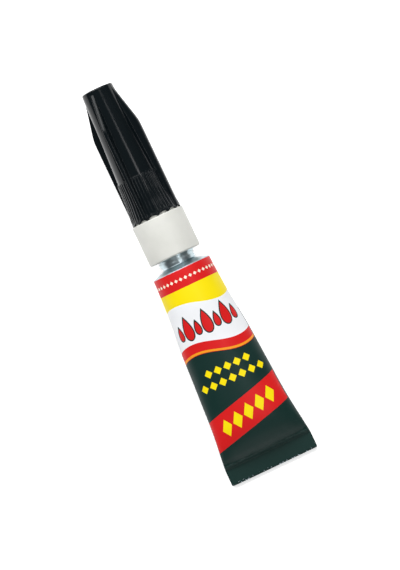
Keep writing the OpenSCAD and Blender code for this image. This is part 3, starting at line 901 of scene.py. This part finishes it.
# %% Black polypropylene
def moulded_polypropylene():
    """Polished black polypropylene from a mould."""
    material, tree, shader = new_finish(
        "moulded_polypropylene", "0B1215", 0.14, Specular_IOR_Level=0.28
    )
    place = add(tree, "ShaderNodeTexCoord", out="Object")
    haze = add(tree, NOISE, {"Vector": place, "Scale": 1 / (2.2 * MM), "Detail": 4.0})
    rough = add(tree, "ShaderNodeMapRange", {"Value": haze, "To Min": 0.11, "To Max": 0.18})
    tree.links.new(rough, shader.inputs["Roughness"])
    grain = add(tree, NOISE, {"Vector": place, "Scale": 1 / (0.5 * MM), "Detail": 2.0})
    bump = add(tree, "ShaderNodeBump", {"Strength": 0.1, "Distance": 0.015 * MM, "Height": grain})
    tree.links.new(bump, shader.inputs["Normal"])
    return material


polypropylene = moulded_polypropylene()

# %% [markdown]
# The cap's outline changes with its height and with the angle round it: a slim core, four fins
# that grow out of it, a ledge, a flared skirt and a rim with small arches. Fins could be separate
# slabs pushed into a cone, but the real cap is one moulding with small radii where a fin meets
# the core. So each ring is drawn as one outline: round the end of a fin, down its side, round the
# foot and along the core to the next fin. Rings are then stacked, and the hollow inside uses the
# same angles.

# %% Sections of the cap
FINS = 4
FIN_TURN = -90 - 25  # the first fin stands 25 degrees to the left of the front
FIN_HALF = 0.45  # half a fin's thickness
FIN_R = 6.0
FIN_TOP_R = 3.6
FIN_TOP_DROP = 0.6  # below the tip, where a fin starts
FIN_STRAIGHT_DROP = 10.0  # and where it stops sloping
FIN_SOFT = 0.12  # how softly its slope turns straight
FIN_CORNER_R = 0.2
FIN_FOOT_R = 0.16
LEAST_FIN = 0.03  # a fin never quite vanishes, so that no face comes out flat
EVEN_R = 1.2  # smaller rings have even angles
TIP_R = 3.625
TIP_ROUND = 0.3
CORE_R = 4.75  # at the skirt
SKIRT_H = 10.0
SKIRT_Z = CAP_Z + SKIRT_H
LEDGE = 0.12
SKIRT_TOP_R = CORE_R + LEDGE
RIM_R = 5.75
# (share of the way down the skirt, share of its flare)
FLARE_SHARES = [(0, 0), (0.3, 0.1), (0.55, 0.3), (0.77, 0.62), (0.9, 0.82), (1, 1)]
LOBES = 14
LOBE_PITCH = 360 / LOBES
LOBE_TURN = LOBE_PITCH / 5 - 90  # the first lobe stands a fifth of a pitch right of the front
ARCH_H = 0.55


def core_radius(z):
    """Radius of the cap without its fins, rounded at the tip."""
    drop = CAP_TIP_Z - z
    if z <= SKIRT_Z:
        flare = curve_at(FLARE_SHARES, (SKIRT_Z - z) / SKIRT_H)
        rounding = LEDGE - math.sqrt(LEDGE**2 - max(z - SKIRT_Z + LEDGE, 0) ** 2)
        return SKIRT_TOP_R - rounding + (RIM_R - SKIRT_TOP_R) * flare
    taper = TIP_R + (CORE_R - TIP_R) * drop / (CAP_TIP_Z - SKIRT_Z)
    round_off = max(TIP_ROUND - drop, 0)
    return taper - TIP_ROUND + math.sqrt(TIP_ROUND**2 - round_off**2)


def fin_radius(z):
    """Radius to the end of a fin: it starts near the tip, slopes out, then runs straight down."""
    share = (CAP_TIP_Z - z - FIN_TOP_DROP) / (FIN_STRAIGHT_DROP - FIN_TOP_DROP)
    slope = FIN_TOP_R + (FIN_R - FIN_TOP_R) * share
    return FIN_R - FIN_SOFT * math.log1p(math.exp((FIN_R - slope) / FIN_SOFT))


def quarter_section(core, fin):
    """Points from the middle of a fin's end to halfway along the core, as (angle, radius)."""
    height = max(fin - core, LEAST_FIN)
    fin = core + height
    corner = min(FIN_CORNER_R, 0.45 * height)
    foot = min(FIN_FOOT_R, 0.45 * height)
    base = math.sqrt(core**2 - (FIN_HALF + foot) ** 2)
    points = [(math.sqrt(fin**2 - q**2), q) for q in np.linspace(0, FIN_HALF - corner, 3)]
    top = points[-1][0]
    points += arc(top - corner, FIN_HALF - corner, corner, 90, 0, 4)[::-1][1:]
    low = base + foot
    points += [(low + (top - corner - low) * t, FIN_HALF) for t in (0.66, 0.33)]
    points += arc(low, FIN_HALF + foot, foot, 270, 180, 4)
    polar = [(math.atan2(q, p), math.hypot(p, q)) for p, q in points]
    start = math.asin((FIN_HALF + foot) / core)
    half = math.pi / FINS
    polar += [(start + (half - start) * t, core) for t in np.linspace(0, 1, 18)[1:]]
    return polar


def cap_ring(core, fin):
    """(angles, radii) of one whole ring, with every fin."""
    side = quarter_section(core, fin)
    one = [(-t, r) for t, r in side[:0:-1]] + side[:-1]
    middle = [2 * math.pi * k / FINS + math.radians(FIN_TURN) for k in range(FINS)]
    angles = np.array([m + t for m in middle for t, _ in one])
    radii = np.array([r for _ in middle for _, r in one])
    return angles, radii


def arch_lift(angles):
    """How far the rim is lifted at an angle, by the arches between its lobes."""
    turned_by = (np.degrees(angles) - LOBE_TURN - LOBE_PITCH / 2) % LOBE_PITCH
    from_middle = np.minimum(turned_by, LOBE_PITCH - turned_by) / (LOBE_PITCH / 2 * 0.9)
    return ARCH_H * np.clip(1 - from_middle**2, 0, 1)


def flat_ring(radius, z, angles):
    """A round ring at one height, with the cap's angles, or even ones close to the axis."""
    if radius < EVEN_R:
        angles = np.linspace(angles[0], angles[0] + 2 * math.pi, len(angles), endpoint=False)
    return np.stack([radius * np.cos(angles), radius * np.sin(angles), np.full(len(angles), z)], 1)


print("The cap has", FINS, "fins and", LOBES, "lobes, one every", round(LOBE_PITCH, 1), "degrees")

# %% [markdown]
# Inside, the cap is hollow: a bore for the pin, a chamber for the spout, the ring grooves of its
# thread, and a recess over the collar. A mould leaves its mark on the tip too: a shallow dimple
# with the stub where the plastic flowed in. One stack of rings runs down the hollow, round the
# rim and up the outside, so the cap is a single closed shell, as the moulding is.


# %% Hollow and crown of the cap
CAP_WALL = 0.95
PIN_BORE_R = 1.05
CAP_BORE_R = 3.08
RECESS_R = 4.65
PIN_ROOF_Z = CAP_TIP_Z - 1.2
GATE_Z = CAP_TIP_Z - 0.02
RIM_EDGE = (0.05, 0.015, 0)  # how far the lowest rings draw in, which rounds the rim
ARCH_FADE = 1.4  # height over which the arches fade out of the outside


def cap_hollow():
    """Outline of the inside, from the pin's bore down to the rim."""
    chamber_z = SPOUT_TIP_Z + 1.1
    thread_end_z = THREAD_TOP_Z + 1.5
    wide_r, narrow_r = CORE_R - CAP_WALL, TIP_R - CAP_WALL
    outline = [(PIN_BORE_R - 0.05, PIN_ROOF_Z), (PIN_BORE_R, PIN_ROOF_Z - 0.05)]
    outline += [(PIN_BORE_R, chamber_z)]
    outline += [(narrow_r - 0.2, chamber_z), (narrow_r, chamber_z - 0.2)]
    outline += [(wide_r, SKIRT_Z), (wide_r, thread_end_z + wide_r - CAP_BORE_R)]
    outline += [(CAP_BORE_R, thread_end_z)]
    for i in (3, 2, 1):
        outline += groove(CAP_BORE_R, SPOUT_Z + i * SPOUT_PITCH, SPOUT_PITCH, RIDGE)[::-1]
    recess_z = CAP_Z + 1.15
    outline += [(CAP_BORE_R, recess_z + 0.1), (CAP_BORE_R + 0.1, recess_z)]
    outline += arc(RECESS_R - 0.15, recess_z - 0.15, 0.15, 90, 0, 3)
    outline += [(RECESS_R, CAP_Z + 1.08), (RING_R + 0.1, CAP_Z + 0.68)]
    return outline + [(RING_R + 0.12, CAP_Z)]


def gate_mark():
    """Rings on the tip where the mould was filled: a shallow dimple with the stub of the gate."""
    return [(0.8, CAP_TIP_Z), (0.68, CAP_TIP_Z - 0.1), (0.34, CAP_TIP_Z - 0.1), (0.28, GATE_Z)]


def outside_heights():
    """Heights of the outer rings, closest together where the shape changes most."""
    levels = [CAP_Z + 0.05 * (1 - math.cos(math.pi / 2 * t)) for t in (0, 0.5, 1)]
    levels += list(np.arange(CAP_Z + 0.3, SKIRT_Z - 0.15, 0.35))
    levels += [z for _, z in arc(0, SKIRT_Z - LEDGE, LEDGE, 0, 90, 5)]
    levels += list(np.arange(SKIRT_Z + 0.4, CAP_TIP_Z - 11.5, 1.0))
    for start, end, step in ((11.2, 8.6, 0.3), (8.2, 1.2, 0.6), (1.1, 0.35, 0.1)):
        levels += list(np.arange(CAP_TIP_Z - start, CAP_TIP_Z - end, step))
    turns = [math.radians(t) for t in (0, 20, 40, 60, 80, 90)]
    return levels + [CAP_TIP_Z - TIP_ROUND * (1 - math.sin(t)) for t in turns]


def cap_mesh():
    """The cap: down the hollow from its roof, round the rim, up the outside and over the tip."""
    angles = cap_ring(RIM_R, FIN_R)[0]
    rings = [flat_ring(radius, z, angles) for radius, z in cap_hollow()]
    rings[-1][:, 2] += arch_lift(angles)
    for i, z in enumerate(outside_heights()):
        edge = RIM_EDGE[min(i, 2)]
        core = core_radius(z) - edge
        angles, radii = cap_ring(core, fin_radius(z) - edge)
        lift = arch_lift(angles) * np.clip(1 - (z - CAP_Z) / ARCH_FADE, 0, 1)
        rings.append(np.stack([radii * np.cos(angles), radii * np.sin(angles), z + lift], 1))
    rings += [flat_ring(radius, z, angles) for radius, z in gate_mark()]
    columns = len(angles)
    points = np.concatenate(rings).tolist() + [(0, 0, PIN_ROOF_Z), (0, 0, GATE_Z)]
    faces = stack_faces(len(rings), columns, closed=False)
    last = (len(rings) - 1) * columns
    for j in range(columns):
        k = (j + 1) % columns
        faces += [(j, k, len(points) - 2), (last + k, last + j, len(points) - 1)]
    return new_mesh("cap", points, faces)


cap_shell = cap_mesh()
print("The cap's shell has", len(cap_shell.polygons), "faces")

# %% [markdown]
# Fine ribs stand round the skirt for grip, three above each lobe. One rib is a thin rounded bar
# that follows the skirt's flare. One more Geometry Nodes tree sets 42 copies of it round the
# axis. They could be copied in Python, but a tree keeps the count and the first angle as inputs
# that anyone can change and see at once.


# %% Ring of copies
def ring_tree():
    """Copies of the mesh that it is given, set round the axis."""
    tree, given = new_tree("copies round the axis", {"Copies": 42, "First Turn": 0.0})
    points = add(tree, "GeometryNodePoints", {"Count": given["Copies"]})
    index = add(tree, "GeometryNodeInputIndex")
    step = add(tree, MATH, [2 * math.pi, given["Copies"]], operation="DIVIDE")
    turn = add(tree, MATH, [index, step, given["First Turn"]], operation="MULTIPLY_ADD")
    about = add(tree, "FunctionNodeAxisAngleToRotation", {"Axis": (0, 0, 1), "Angle": turn})
    ring = {"Points": points, "Instance": given["Geometry"], "Rotation": about}
    end_tree(tree, add(tree, "GeometryNodeInstanceOnPoints", ring), given["Material"])
    return tree


RIBS = 3 * LOBES
RIB_PITCH_R = 5.1  # radius at which a rib's width is a share of the pitch
RIB_W_SHARE = 0.8
RIB_TALL = 0.14
RIB_FOOT_GAP = 0.42
RIB_TOP_GAP = 0.2
RIB_STEPS = 22


def rib_mesh():
    """One rib: a rounded bar up the skirt, thinning out at its foot and faster at the ledge."""
    rib_half = 2 * math.pi * RIB_PITCH_R / RIBS * RIB_W_SHARE / 2
    points = []
    for t in np.linspace(0, 1, RIB_STEPS + 1):
        z = CAP_Z + RIB_FOOT_GAP + (SKIRT_H - RIB_FOOT_GAP - RIB_TOP_GAP) * t
        fade = min(1, 0.05 + 8 * t, 0.05 + 20 * (1 - t)) ** 0.5
        tall = RIB_TALL * fade
        section = [(-0.1, -rib_half), (0, -rib_half), (tall * 0.8, -rib_half * 0.62), (tall, 0)]
        section += [(r, -q) for r, q in section[2::-1]]
        points += [(core_radius(z) + r, q * (0.4 + 0.6 * fade), z) for r, q in section]
    columns = len(section)
    faces = stack_faces(RIB_STEPS + 1, columns, closed=False)
    faces += [tuple(range(columns)), tuple(range(RIB_STEPS * columns, len(points)))]
    return new_mesh("rib", points, faces)


places = {"Copies": RIBS, "First Turn": math.radians(LOBE_TURN)}
ribs = grown(ring_tree(), rib_mesh(), places, polypropylene)
print(RIBS, "ribs make", len(ribs.polygons), "faces")
shapes = [cap_shell, ribs]
finish_piece("cap_moulding", shapes, polypropylene, "cap", ["cap"], sharp=40)

# %% [markdown]
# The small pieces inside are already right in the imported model, so they keep its meshes and only
# get a finish: a drawn steel pin, the glue, the sealing strip in the fold and the foil membrane.


# %% Pieces kept from the model
def drawn_steel():
    """Bright drawn wire, with faint lines along it."""
    material, tree, shader = new_finish("drawn_steel", "B4B4B2", 0.28, Metallic=1.0)
    place = standing_place(tree)
    squeezed = add(tree, "ShaderNodeVectorMath", [place, (8, 8, 0.4)], operation="MULTIPLY")
    lines = add(tree, NOISE, {"Vector": squeezed, "Scale": 1.0, "Detail": 2.0})
    rough = add(tree, "ShaderNodeMapRange", {"Value": lines, "To Min": 0.2, "To Max": 0.4})
    tree.links.new(rough, shader.inputs["Roughness"])
    return material


def clear_glue():
    """Clear, runny adhesive, very faintly yellow."""
    return new_finish("clear_adhesive", "F7F6E8", 0.03, Transmission_Weight=1.0, IOR=1.45)[0]


def sealing_strip():
    """Latex compound, dull and brownish."""
    material, tree, shader = new_finish("latex_sealant", "B89468", 0.7)
    place = add(tree, "ShaderNodeTexCoord", out="Object")
    crumbs = add(tree, NOISE, {"Vector": place, "Scale": 1 / (0.4 * MM), "Detail": 3.0})
    tones = {0: crumbs, 6: hex_colour("A9855C"), 7: hex_colour("C8A579")}
    tint = add(tree, "ShaderNodeMix", tones, out=2, data_type="RGBA")
    tree.links.new(tint, shader.inputs["Base Color"])
    return material


for node, material in (
    ("membrane", aluminium),
    ("cap_pin", drawn_steel()),
    ("glue", clear_glue()),
    ("end_seal", sealing_strip()),
):
    materials = frame["nodes"][node].data.materials
    materials.clear()
    materials.append(material)

# %% [markdown]
# The photograph is a cut-out on white. It looks squarely at the tube's printed front, with the
# cap at the top left. So the camera stands over the front and is rolled by the tube's angle in
# the picture. A long lens keeps the sides nearly parallel, as in the photograph.

# %% Camera
PHOTO_TURN = math.radians(25.33)  # the axis leans this far to the left in the picture
FRAME_H = 125.08 * MM  # height of the whole picture at the tube
DISTANCE = 0.6  # metres from the tube
SENSOR_H = 36

FRONT = -BACK
RIGHT = Vector((1, 0, 0))
picture_right = RIGHT * math.cos(PHOTO_TURN) - UP * math.sin(PHOTO_TURN)
picture_up = RIGHT * math.sin(PHOTO_TURN) + UP * math.cos(PHOTO_TURN)
camera_data = bpy.data.cameras.new("camera")
camera_data.sensor_fit = "VERTICAL"
camera_data.sensor_height = SENSOR_H
camera_data.lens = SENSOR_H * DISTANCE / FRAME_H
camera = bpy.data.objects.new("camera", camera_data)
bpy.context.scene.collection.objects.link(camera)
aim = LAID @ (Vector((2.14, 0, -5.19)) * MM)  # the middle of the picture
camera.location = aim + FRONT * DISTANCE
camera.rotation_euler = Matrix((picture_right, picture_up, FRONT)).transposed().to_euler()
bpy.context.scene.camera = camera
print("Lens", round(camera_data.lens, 1), "mm, at", DISTANCE, "m")

# %% [markdown]
# The floor is white paper. Paper lit at a plain level renders as light grey, so the floor adds a
# little light of its own, seen by the camera and by reflections only. The tube's soft shadow
# stays.


# %% Floor
FLOOR_HALF = 1.5  # metres, as the drop below
FLOOR_DROP = 0.0003  # just below the tube, so that the two never share a plane
GLOW = 0.5  # its own light, where 1 is white


def white_paper():
    """Matt white paper that reads as white to the camera and in reflections."""
    material, tree, shader = new_finish("white_paper", "F4F4F4", 0.9, Specular_IOR_Level=0.0)
    path = tree.nodes.new("ShaderNodeLightPath").outputs
    seen = add(tree, MATH, [path["Is Camera Ray"], path["Is Glossy Ray"]], operation="MAXIMUM")
    seen = add(tree, MATH, [seen, path["Is Transmission Ray"]], operation="MAXIMUM")
    glow = add(tree, MATH, [seen, GLOW], operation="MULTIPLY")
    shader.inputs["Emission Color"].default_value = (1, 1, 1, 1)
    tree.links.new(glow, shader.inputs["Emission Strength"])
    return material


floor_mesh = bpy.data.meshes.new("floor")
corners = [(x * FLOOR_HALF, y * FLOOR_HALF, 0) for x, y in ((-1, -1), (1, -1), (1, 1), (-1, 1))]
floor_mesh.from_pydata(corners, [], [(0, 1, 2, 3)])
floor_mesh.materials.append(white_paper())
floor = bpy.data.objects.new("floor", floor_mesh)
bpy.context.scene.collection.objects.link(floor)
floor.location.z = -FLOOR_DROP
print("The floor is", 2 * FLOOR_HALF, "m wide")

# %% [markdown]
# Lighting decides how black gloss looks. A black cap shows almost nothing but reflections, so
# each lamp's shape becomes a highlight. The broad light comes from a soft box beyond the cap,
# with a weak one beyond the fold, because a long round tube hardly mirrors what stands beyond its
# ends. The other lamps are small, and each draws one highlight: a strip gives the thin line down
# the core, one lamp at the left lights the slope of the front fin, a low one at the right picks
# out the ribs, and a last one puts glints on the neck. The world adds a low, even light.


# %% Lamps
def soft_box(name, turn, lean, distance, size, power):
    """A rectangular lamp aimed at the tube: turned to the right and leaning towards the cap."""
    data = bpy.data.lights.new(name, "AREA")
    data.shape = "RECTANGLE"
    data.size, data.size_y = size
    data.energy = power
    lamp = bpy.data.objects.new(name, data)
    bpy.context.scene.collection.objects.link(lamp)
    side, tip = math.radians(turn), math.radians(lean)
    level = FRONT * math.cos(side) + RIGHT * math.sin(side)
    away = level * math.cos(tip) + UP * math.sin(tip)
    long_side = UP * math.cos(tip) - level * math.sin(tip)
    across = long_side.cross(away)
    lamp.location = aim + away * distance
    lamp.rotation_euler = Matrix((across, long_side, away)).transposed().to_euler()


LAMPS = (  # name, degrees turned and leaning, metres away, metres across and along, watts
    ("cap_end", 0, 50, 0.9, (0.9, 0.5), 9.9),
    ("fold_end", 0, -66, 0.9, (1.0, 0.6), 1.9),
    ("strip", 15, -7, 1.0, (0.15, 0.66), 1.7),
    ("fin_light", -50, 35, 0.9, (0.3, 0.25), 0.9),
    ("rib_light", 35, 20.5, 1.0, (0.9, 0.08), 0.6),
    ("neck_light", -22, 1, 1.0, (0.5, 0.08), 0.32),
)
for row in LAMPS:
    soft_box(*row)
print(len(LAMPS), "lamps of", round(sum(row[-1] for row in LAMPS), 1), "watts in all")

world = bpy.data.worlds.new("studio")
bpy.context.scene.world = world
world.use_nodes = True
background = next(node for node in world.node_tree.nodes if node.type == "BACKGROUND")
background.inputs["Color"].default_value = (1, 1, 1, 1)
background.inputs["Strength"].default_value = 0.1
bpy.context.scene.view_settings.view_transform = "Standard"
